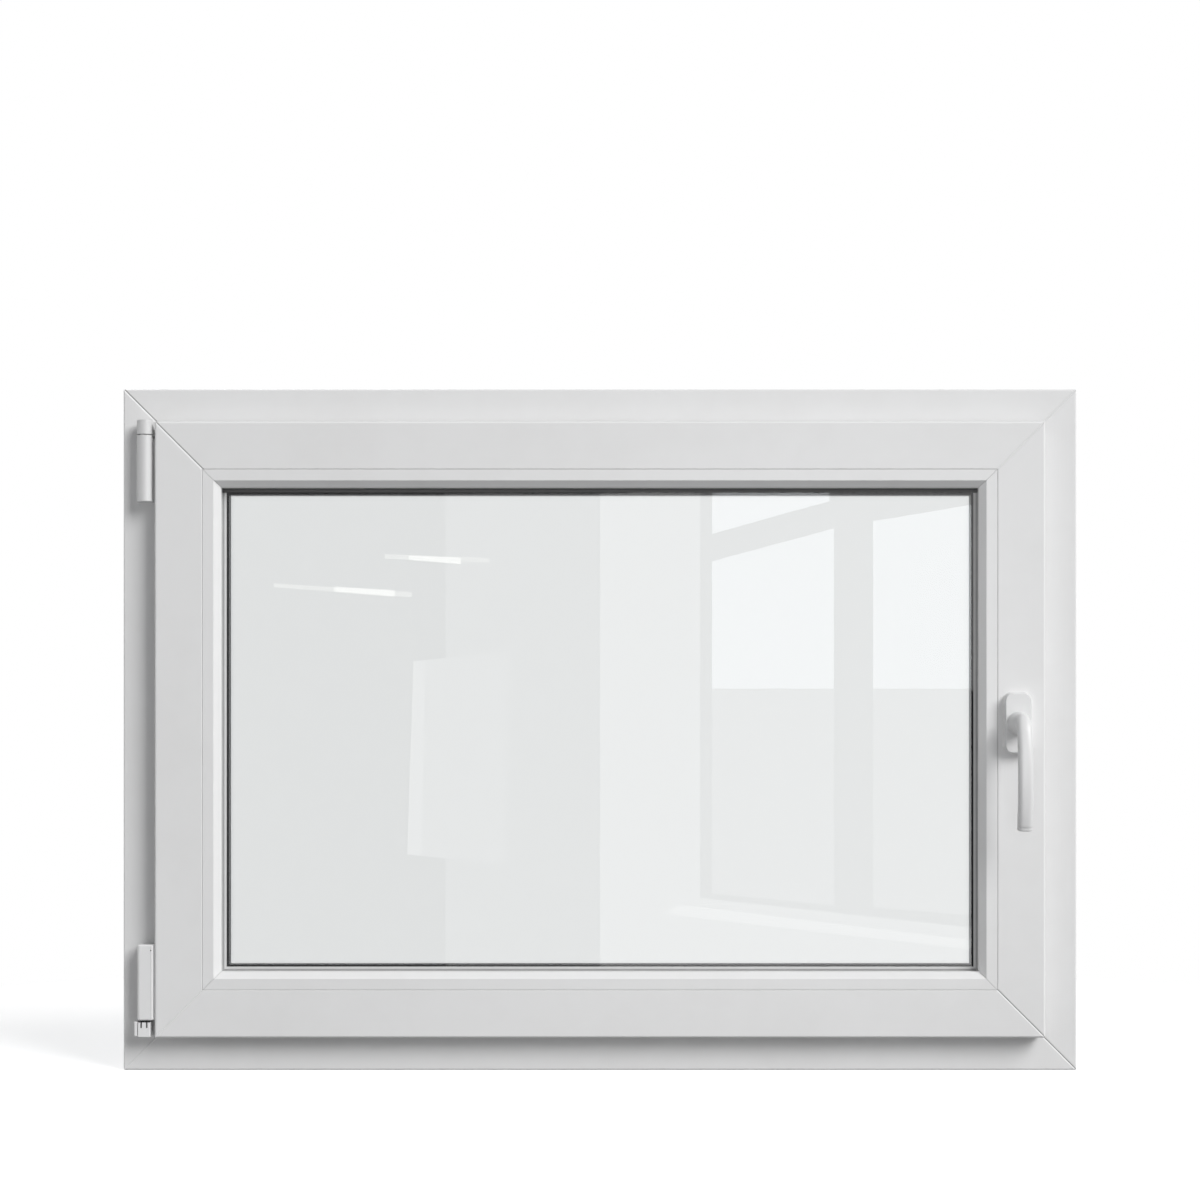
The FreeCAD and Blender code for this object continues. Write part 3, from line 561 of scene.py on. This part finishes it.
# %% The lever's path
lever_low, lever_high = (Vector(c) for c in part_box("handle_lever"))
boss_radius = 0.0127
spindle_x = lever_high.x - boss_radius
spindle_z = lever_high.z - boss_radius
foot_y = lever_high.y
neck_reach = 0.025
bend_radius = 0.0145
grip_lean = math.radians(14.0)
grip_half_width = 0.0081
grip_half_depth = 0.0066
grip_roundness = 2.6
cap_length = 0.004
cap_inset = 0.00005
cap_groove = 0.00008
cap_rounding = 0.0013
neck_stations = 14
bend_stations = 24
grip_stations = 40
rounding_stations = 6


def blend(first, second, share):
    """A smooth step from the first value to the second."""
    share = min(max(share, 0.0), 1.0)
    return first + (second - first) * share * share * (3 - 2 * share)


def tapered(radius, early, late, share):
    """The neck narrows quickly beside the boss, and a little more towards the bend."""
    return radius - early * share ** 0.7 - late * share ** 3


def lever_path():
    """Stations of the lever: place, lean from straight out to down, half width, half depth, and
    roundness of the section."""
    stations = []
    boss = ((0.0, 0.0123), (0.0004, 0.0127), (0.0030, 0.0127), (0.0034, 0.0126), (0.0060, 0.0112))
    for reach, radius in boss:
        stations.append((Vector((spindle_x, foot_y - reach, spindle_z)), 0.0, radius, radius, 2.0))
    boss_reach, boss_end_radius = boss[-1]
    for i in range(1, neck_stations + 1):
        share = i / neck_stations
        reach = boss_reach + (neck_reach - boss_reach) * share
        half_width = tapered(boss_end_radius, 0.0022, 0.0006, share)
        half_depth = tapered(boss_end_radius, 0.0010, 0.0004, share)
        place = Vector((spindle_x, foot_y - reach, spindle_z))
        stations.append((place, 0.0, half_width, half_depth, 2.0))
    bend_width, bend_depth = stations[-1][2], stations[-1][3]
    pivot = Vector((spindle_x, foot_y - neck_reach, spindle_z - bend_radius))
    bend_end = math.pi / 2 - grip_lean
    for i in range(1, bend_stations + 1):
        share = i / bend_stations
        lean = bend_end * share
        place = pivot + Vector((0, -math.sin(lean), math.cos(lean))) * bend_radius
        half_width = blend(bend_width, grip_half_width, share)
        half_depth = blend(bend_depth, grip_half_depth, share * 1.15)
        stations.append((place, lean, half_width, half_depth, blend(2.0, grip_roundness, share)))
    top = stations[-1][0]
    cap_fall = cap_length * math.cos(grip_lean) + grip_half_depth * math.sin(grip_lean)
    fall = top.z - lever_low.z - cap_fall
    bow = fall / (2 * math.sin(grip_lean))
    centre = top + Vector((0, math.cos(grip_lean), -math.sin(grip_lean))) * bow
    for i in range(1, grip_stations + 1):
        lean = bend_end + 2 * grip_lean * i / grip_stations
        place = centre + Vector((0, -math.sin(lean), math.cos(lean))) * bow
        stations.append((place, lean, grip_half_width, grip_half_depth, grip_roundness))
    end, lean = stations[-1][0], stations[-1][1]
    down = Vector((0, math.sin(grip_lean), -math.cos(grip_lean)))
    steps = [(0.0001, cap_groove), (0.0004, cap_groove), (0.0005, cap_inset)]
    for i in range(rounding_stations + 1):
        turn = math.pi / 2 * i / rounding_stations
        step = cap_length - cap_rounding + cap_rounding * math.sin(turn)
        steps.append((step, cap_inset + cap_rounding * (1 - math.cos(turn))))
    for step, inset in steps:
        half_width, half_depth = grip_half_width - inset, grip_half_depth - inset
        stations.append((end + down * step, lean, half_width, half_depth, grip_roundness))
    return stations


def lever_ring(place, lean, half_width, half_depth, roundness):
    across = Vector((0, -math.sin(lean), math.cos(lean)))
    ring = oval(half_width, half_depth, roundness)
    return [place + Vector((side, 0, 0)) + across * depth for side, depth in ring]


bm = bmesh.new()
path = lever_path()
skin(bm, [lever_ring(*station) for station in path], path[0][0], path[-1][0])
lever = finished_mesh(bm, "smooth_lever", handle_coat, "handle")
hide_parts("handle_lever")

# %% [markdown]
# ## Screws
#
# The strikers and the locking strips are held by countersunk screws with a cross recess. They are
# all alike, so one screw is modelled and Geometry Nodes sets it on a list of points. Each point
# carries the direction in which its screw faces. The tree ends by making the copies real, because
# an exported model can't hold instances.

# %% One screw head
def screw_head(radius, recess):
    """A flat countersunk head with a cross recess, facing +Z, with its rim just below z = 0."""
    mesh = bpy.data.meshes.new("screw_head")
    bm = bmesh.new()
    steps = 24
    rim_z, top_z, floor_z = -0.0003, 0.0002, -0.0011
    top_share, floor_share = 0.9, 0.6
    rim = []
    inner = []
    for i in range(steps):
        angle = 2 * math.pi * i / steps
        x, y = radius * math.cos(angle), radius * math.sin(angle)
        rim.append(bm.verts.new((x, y, rim_z)))
        inner.append(bm.verts.new((top_share * x, top_share * y, top_z)))
    arm = recess * 0.28
    quarter = [(recess, -arm), (recess, arm), (arm, arm)]
    outline = []
    for _ in range(4):
        outline += quarter
        quarter = [(-y, x) for x, y in quarter]
    top = [bm.verts.new((x, y, top_z)) for x, y in outline]
    floor = [bm.verts.new((x * floor_share, y * floor_share, floor_z)) for x, y in outline]
    for i in range(steps):
        j = (i + 1) % steps
        bm.faces.new((rim[i], rim[j], inner[j], inner[i]))
    count = len(outline)
    for i in range(count):
        j = (i + 1) % count
        bm.faces.new((top[i], top[j], floor[j], floor[i]))
    bm.faces.new(floor)
    ring_edges = [bm.edges.get((inner[i], inner[(i + 1) % steps])) for i in range(steps)]
    ring_edges += [bm.edges.get((top[i], top[(i + 1) % count])) for i in range(count)]
    bmesh.ops.triangle_fill(bm, edges=ring_edges, use_beauty=True)
    bmesh.ops.recalc_face_normals(bm, faces=bm.faces)
    bm.to_mesh(mesh)
    bm.free()
    return mesh


screw_radius = 0.0032
recess_reach = 0.0020
screw_mesh = screw_head(screw_radius, recess_reach)
screw_source = bpy.data.objects.new("screw_source", screw_mesh)
bpy.context.scene.collection.objects.link(screw_source)
print("screw faces:", len(screw_mesh.polygons))

# %% The tree that sets copies on points
def copies_tree():
    tree = bpy.data.node_groups.new("copies_on_points", "GeometryNodeTree")
    tree.interface.new_socket("Geometry", in_out="INPUT", socket_type="NodeSocketGeometry")
    tree.interface.new_socket("Piece", in_out="INPUT", socket_type="NodeSocketObject")
    tree.interface.new_socket("Finish", in_out="INPUT", socket_type="NodeSocketMaterial")
    tree.interface.new_socket("Geometry", in_out="OUTPUT", socket_type="NodeSocketGeometry")
    start = tree.nodes.new("NodeGroupInput")
    end = tree.nodes.new("NodeGroupOutput")
    way = tree.nodes.new("GeometryNodeInputNamedAttribute")
    way.data_type = "FLOAT_VECTOR"
    way.inputs["Name"].default_value = "way"
    turn = tree.nodes.new("FunctionNodeAlignRotationToVector")
    turn.axis = "Z"
    info = tree.nodes.new("GeometryNodeObjectInfo")
    put = tree.nodes.new("GeometryNodeInstanceOnPoints")
    real = tree.nodes.new("GeometryNodeRealizeInstances")
    paint = tree.nodes.new("GeometryNodeSetMaterial")
    link = tree.links.new
    link(start.outputs["Geometry"], put.inputs["Points"])
    link(start.outputs["Piece"], info.inputs["Object"])
    link(info.outputs["Geometry"], put.inputs["Instance"])
    link(way.outputs["Attribute"], turn.inputs["Vector"])
    link(turn.outputs["Rotation"], put.inputs["Rotation"])
    link(put.outputs["Instances"], real.inputs["Geometry"])
    link(real.outputs["Geometry"], paint.inputs["Geometry"])
    link(start.outputs["Finish"], paint.inputs["Material"])
    link(paint.outputs["Geometry"], end.inputs["Geometry"])
    return tree


copies = copies_tree()
copies_inputs = {}
for item in copies.interface.items_tree:
    if item.in_out == "INPUT":
        copies_inputs[item.name] = item.identifier
print("tree inputs:", copies_inputs)

# %% [markdown]
# The points are listed as a place and a direction. A mesh of loose vertices holds them, and the
# tree reads the direction from an attribute. The result is copied to a plain mesh, and the modifier
# goes with the object that carried it.

# %% Set copies and keep the result as a plain mesh
def set_copies(name, places, piece, material, body):
    """Copies of a piece at places, a list of (point, direction)."""
    mesh = bpy.data.meshes.new(name + "_points")
    mesh.from_pydata([point for point, way in places], [], [])
    attribute = mesh.attributes.new("way", "FLOAT_VECTOR", "POINT")
    for i, (point, way) in enumerate(places):
        attribute.data[i].vector = way
    carrier = bpy.data.objects.new(name + "_carrier", mesh)
    bpy.context.scene.collection.objects.link(carrier)
    modifier = carrier.modifiers.new("copies", "NODES")
    modifier.node_group = copies
    modifier[copies_inputs["Piece"]] = piece
    modifier[copies_inputs["Finish"]] = material
    depsgraph = bpy.context.evaluated_depsgraph_get()
    result = bpy.data.meshes.new_from_object(carrier.evaluated_get(depsgraph), depsgraph=depsgraph)
    result.name = name
    made = bpy.data.objects.new(name, result)
    bpy.context.scene.collection.objects.link(made)
    bpy.data.objects.remove(carrier)
    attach(made, body)
    print(name, "copies:", len(places), "faces:", len(result.polygons))


print("copy helper ready")

# %% [markdown]
# The strikers are screwed to the frame's rebate on both sides of the place where the cam passes. The
# strips are screwed to the sash. Their places are worked out from the boxes of the solids, so they
# sit on the metal.

# %% Striker screws and strip screws
def rows_on(name, axis, way, starts, offset=0.0):
    """Screw places along one axis of a solid, on the face that looks the given way."""
    low, high = (Vector(c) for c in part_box(name))
    centre = (low + high) / 2
    places = []
    for start in starts:
        point = centre.copy()
        point[axis] = start
        for other in range(3):
            if way[other] > 0:
                point[other] = high[other] + offset
            if way[other] < 0:
                point[other] = low[other] - offset
        places.append((point, way))
    return places


end_distance = 0.03
right_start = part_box("faceplate_right")[0][2] + end_distance
top_start = 0.10
bottom_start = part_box("faceplate_bottom")[0][0] + end_distance
strips = (
    ("faceplate_right", 2, (1, 0, 0), right_start, 0.11, 6),
    ("faceplate_top", 0, (0, 0, 1), top_start, 0.095, 4),
    ("faceplate_bottom", 0, (0, 0, -1), bottom_start, 0.121, 8),
)
strip_places = []
for name, axis, way, start, pitch, count in strips:
    strip_places += rows_on(name, axis, way, [start + pitch * i for i in range(count)])
set_copies("strip_screws", strip_places, screw_source, steel, "sash")

plate_length = 0.034
lip_over_plate = 0.0055
screw_reaches = (0.0045, plate_length - 0.0040)
strikers = (
    ("strikers_right", 2, (-1, 0, 0), 2),
    ("strikers_bottom", 0, (0, 0, 1), 2),
    ("striker_top", 0, (0, 0, -1), 1),
)
striker_places = []
for name, axis, way, count in strikers:
    low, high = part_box(name)
    starts = [low[axis], high[axis] - plate_length][:count]
    screws = [start + reach for start in starts for reach in screw_reaches]
    striker_places += rows_on(name, axis, way, screws, -lip_over_plate)
set_copies("striker_screws", striker_places, screw_source, steel, "fixed_frame")
bpy.data.objects.remove(screw_source)

# %% [markdown]
# ## The studio
#
# The floor and the surroundings are white to the camera, to reflections and through the glass, and
# give the window only a moderate, even light. Close to the window the floor is a matt surface that
# takes its shadow. Further out it fades into the plain white of the surroundings, so there is no
# horizon.

# %% Floor and surroundings
def seen_directly(finish):
    """1 for camera, glossy and transmission rays, 0 for the rays that carry light."""
    path = finish.node("LightPath").socket.node
    seen = Wire(finish, path.outputs["Is Camera Ray"])
    seen = seen.most(Wire(finish, path.outputs["Is Glossy Ray"]))
    return seen.most(Wire(finish, path.outputs["Is Transmission Ray"]))


floor_size = 24.0
floor_glow = 0.50
fade_start, fade_end = 0.75, 1.25


def studio_floor():
    finish = Finish("studio_floor")
    away = finish.node("VectorMath", {"operation": "LENGTH"}, {0: finish.place()}, out=1)
    dull = finish.node("BsdfDiffuse", inputs={"Color": tone(0.32)})
    matt = finish.node("BsdfDiffuse", inputs={"Color": tone(0.80)})
    glow = finish.node("Emission", inputs={"Color": tone(1.0), "Strength": floor_glow})
    white_glow = finish.node("Emission", inputs={"Color": tone(1.0), "Strength": 1.0})
    near = finish.node("AddShader", inputs={0: matt, 1: glow})
    fade = finish.remap(away, fade_start, fade_end)
    shown = finish.node("MixShader", inputs={0: fade, 1: near, 2: white_glow})
    both = finish.node("MixShader", inputs={0: seen_directly(finish), 1: dull, 2: shown})
    finish.node("OutputMaterial", inputs={"Surface": both})
    return finish.owner


bpy.ops.mesh.primitive_plane_add(size=floor_size, location=(0.0, 0.0, 0.0))
floor = bpy.context.object
floor.name = "studio_floor"
floor.data.materials.append(studio_floor())

ambient = 0.205
ambient_tint = (0.93, 0.96, 1.0, 1.0)
sky = Finish("studio", "worlds")
bpy.context.scene.world = sky.owner
seen = seen_directly(sky)
strength = seen * (1.0 - ambient) + ambient
sky_light = sky.mix(seen, ambient_tint, tone(1.0))
background = sky.node("Background", inputs={"Color": sky_light, "Strength": strength})
sky.node("OutputWorld", inputs={"Surface": background})
print("ambient:", ambient)

# %% [markdown]
# One large soft lamp stands far to the right and above. It rakes across the window more than it
# faces it, so the slopes of the glazing beads and the trimmed welds show the light and dark sides
# that they have in the photograph, and the sash throws a soft shadow to the left and down. A weak
# lamp at the left grazes the slopes that turn away from the first, and a third lamp behind the
# window lights its outdoor side, which the photograph doesn't show.

# %% Lamps
aim_y = -0.05
window_middle = Vector((0.0, aim_y, window_height / 2))


def soft_lamp(name, way, distance, size, power):
    """A square lamp that stands in a direction from the window's middle and faces it."""
    lamp = bpy.data.lights.new(name, "AREA")
    lamp.shape = "RECTANGLE"
    lamp.size = size
    lamp.size_y = size
    lamp.energy = power
    holder = bpy.data.objects.new(name, lamp)
    bpy.context.scene.collection.objects.link(holder)
    holder.location = window_middle + Vector(way) * distance
    back = window_middle - holder.location
    holder.rotation_euler = back.to_track_quat("-Z", "Y").to_euler()


far = 24.0
wide = 14.0
soft_lamp("key_lamp", (0.61, -0.56, 0.55), far, wide, 6070.0)
soft_lamp("fill_lamp", (-0.97, -0.18, -0.10), 8.0, 4.0, 290.0)
soft_lamp("back_lamp", (-0.40, 0.75, 0.53), far, wide, 2600.0)

# %% [markdown]
# A pane of glass is mostly seen by what it mirrors. Reflection cards stand before the window: flat
# glowing panels in a few layers, which only reflections see. They show in the glass as the pale
# fields and streaks of the photograph. Each card is drawn by its corners on the glass, and is then
# spread to the place that the glass mirrors to the camera.

# %% Reflection cards
def glowing(name, strength, colour):
    finish = Finish(name)
    glow = finish.node("Emission", inputs={"Color": colour, "Strength": strength})
    finish.node("OutputMaterial", inputs={"Surface": glow})
    return finish.owner


camera_distance = 2.8
card_y = -1.25
layer_step = 0.003
room_face = frame_low.y
camera_y = room_face - camera_distance
camera_z = window_height / 2
card_reach = ((pane_face - camera_y) + (pane_face - card_y)) / (pane_face - camera_y)


def on_card(x, z, layer):
    """The point of a card that the glass mirrors to the camera at x and z on the glass."""
    return (x * card_reach, card_y + layer_step * layer, camera_z + (z - camera_z) * card_reach)


def reflection_card(name, corners, layer, strength, colour):
    mesh = bpy.data.meshes.new(name)
    mesh.from_pydata([on_card(x, z, layer) for x, z in corners], [], [tuple(range(len(corners)))])
    card = bpy.data.objects.new(name, mesh)
    bpy.context.scene.collection.objects.link(card)
    card.data.materials.append(glowing(name, strength, colour))
    card.visible_camera = False
    card.visible_diffuse = False
    card.visible_transmission = False
    card.visible_shadow = False


neutral = tone(1.0)
sky_tint = (0.95, 0.975, 1.0, 1.0)
lamp_tint = (1.0, 1.0, 0.95, 1.0)
cards = {
    "bright_wall": (0, 3.4, neutral, [
        (0.0, 0.10), (0.43, 0.10), (0.43, 0.66), (0.0, 0.66),
    ]),
    "haze": (-1, 1.8, neutral, [
        (-0.17, 0.10), (0.0, 0.10), (0.0, 0.66), (-0.17, 0.66),
    ]),
    "soft_field": (0, 2.2, neutral, [
        (-0.212, 0.238), (-0.105, 0.226), (-0.098, 0.462), (-0.205, 0.450),
    ]),
    "soft_edge": (1, 2.8, neutral, [
        (-0.212, 0.238), (-0.196, 0.236), (-0.192, 0.452), (-0.205, 0.450),
    ]),
    "upper_streak": (0, 3.2, lamp_tint, [
        (-0.237, 0.5632), (-0.122, 0.5586), (-0.122, 0.5638), (-0.237, 0.5680),
    ]),
    "upper_core": (1, 6.4, lamp_tint, [
        (-0.210, 0.5616), (-0.153, 0.5570), (-0.153, 0.5640), (-0.210, 0.5666),
    ]),
    "lower_streak": (0, 3.2, lamp_tint, [
        (-0.359, 0.5316), (-0.207, 0.5207), (-0.207, 0.5261), (-0.359, 0.5360),
    ]),
    "lower_core": (1, 6.4, lamp_tint, [
        (-0.292, 0.5266), (-0.226, 0.5212), (-0.226, 0.5282), (-0.292, 0.5322),
    ]),
    "bars": (1, 2.1, neutral, [
        (0.110, 0.190), (0.43, 0.155), (0.43, 0.66), (0.110, 0.66),
    ]),
    "sky_left": (2, 5.4, sky_tint, [
        (0.123, 0.42), (0.257, 0.42), (0.257, 0.596), (0.123, 0.560),
    ]),
    "sky_right": (2, 5.4, sky_tint, [
        (0.300, 0.42), (0.408, 0.42), (0.408, 0.622), (0.300, 0.604),
    ]),
    "sky_top": (2, 5.6, sky_tint, [
        (0.123, 0.590), (0.252, 0.626), (0.252, 0.645), (0.123, 0.645),
    ]),
    "low_left": (2, 2.9, neutral, [
        (0.123, 0.195), (0.257, 0.182), (0.257, 0.42), (0.123, 0.42),
    ]),
    "low_right": (2, 2.9, neutral, [
        (0.300, 0.180), (0.408, 0.171), (0.408, 0.42), (0.300, 0.42),
    ]),
    "lintel": (3, 0.10, neutral, [
        (-0.45, 0.6388), (0.45, 0.6388), (0.45, 0.665), (-0.45, 0.665),
    ]),
    "lintel_left": (3, 0.10, neutral, [
        (-0.45, 0.6345), (0.03, 0.6345), (0.03, 0.6388), (-0.45, 0.6388),
    ]),
    "right_post": (3, 0.10, neutral, [
        (0.408, 0.10), (0.45, 0.10), (0.45, 0.417), (0.408, 0.417),
    ]),
    "sill": (2, 4.4, neutral, [
        (0.072, 0.172), (0.43, 0.131), (0.43, 0.141), (0.085, 0.183),
    ]),
}
for name, (layer, strength, colour, corners) in cards.items():
    reflection_card("card_" + name, corners, layer, strength, colour)
print("cards:", len(cards))

# %% [markdown]
# ## The camera
#
# The photograph looks at the window squarely, from about 2.8 m. The window sits below the middle of
# the picture, and its level edges stay level, so the camera looks straight ahead and its lens is
# shifted instead of tilted.

# %% Camera
picture_pixels = 1200
window_pixels = 952.0
window_middle_row = 729.6
sensor_width = 36.0
metres_per_pixel = 2 * window_half_width / window_pixels
camera_data = bpy.data.cameras.new("camera")
camera_data.sensor_fit = "HORIZONTAL"
camera_data.sensor_width = sensor_width
camera_data.lens = sensor_width * camera_distance / (picture_pixels * metres_per_pixel)
camera_data.shift_y = (window_middle_row - picture_pixels / 2) / picture_pixels
camera = bpy.data.objects.new("camera", camera_data)
bpy.context.scene.collection.objects.link(camera)
camera.location = (0.0, camera_y, camera_z)
camera.rotation_euler = (math.pi / 2, 0.0, 0.0)
bpy.context.scene.camera = camera
bpy.context.scene.view_settings.view_transform = "Standard"
print("lens:", round(camera_data.lens, 2), "shift:", round(camera_data.shift_y, 4))
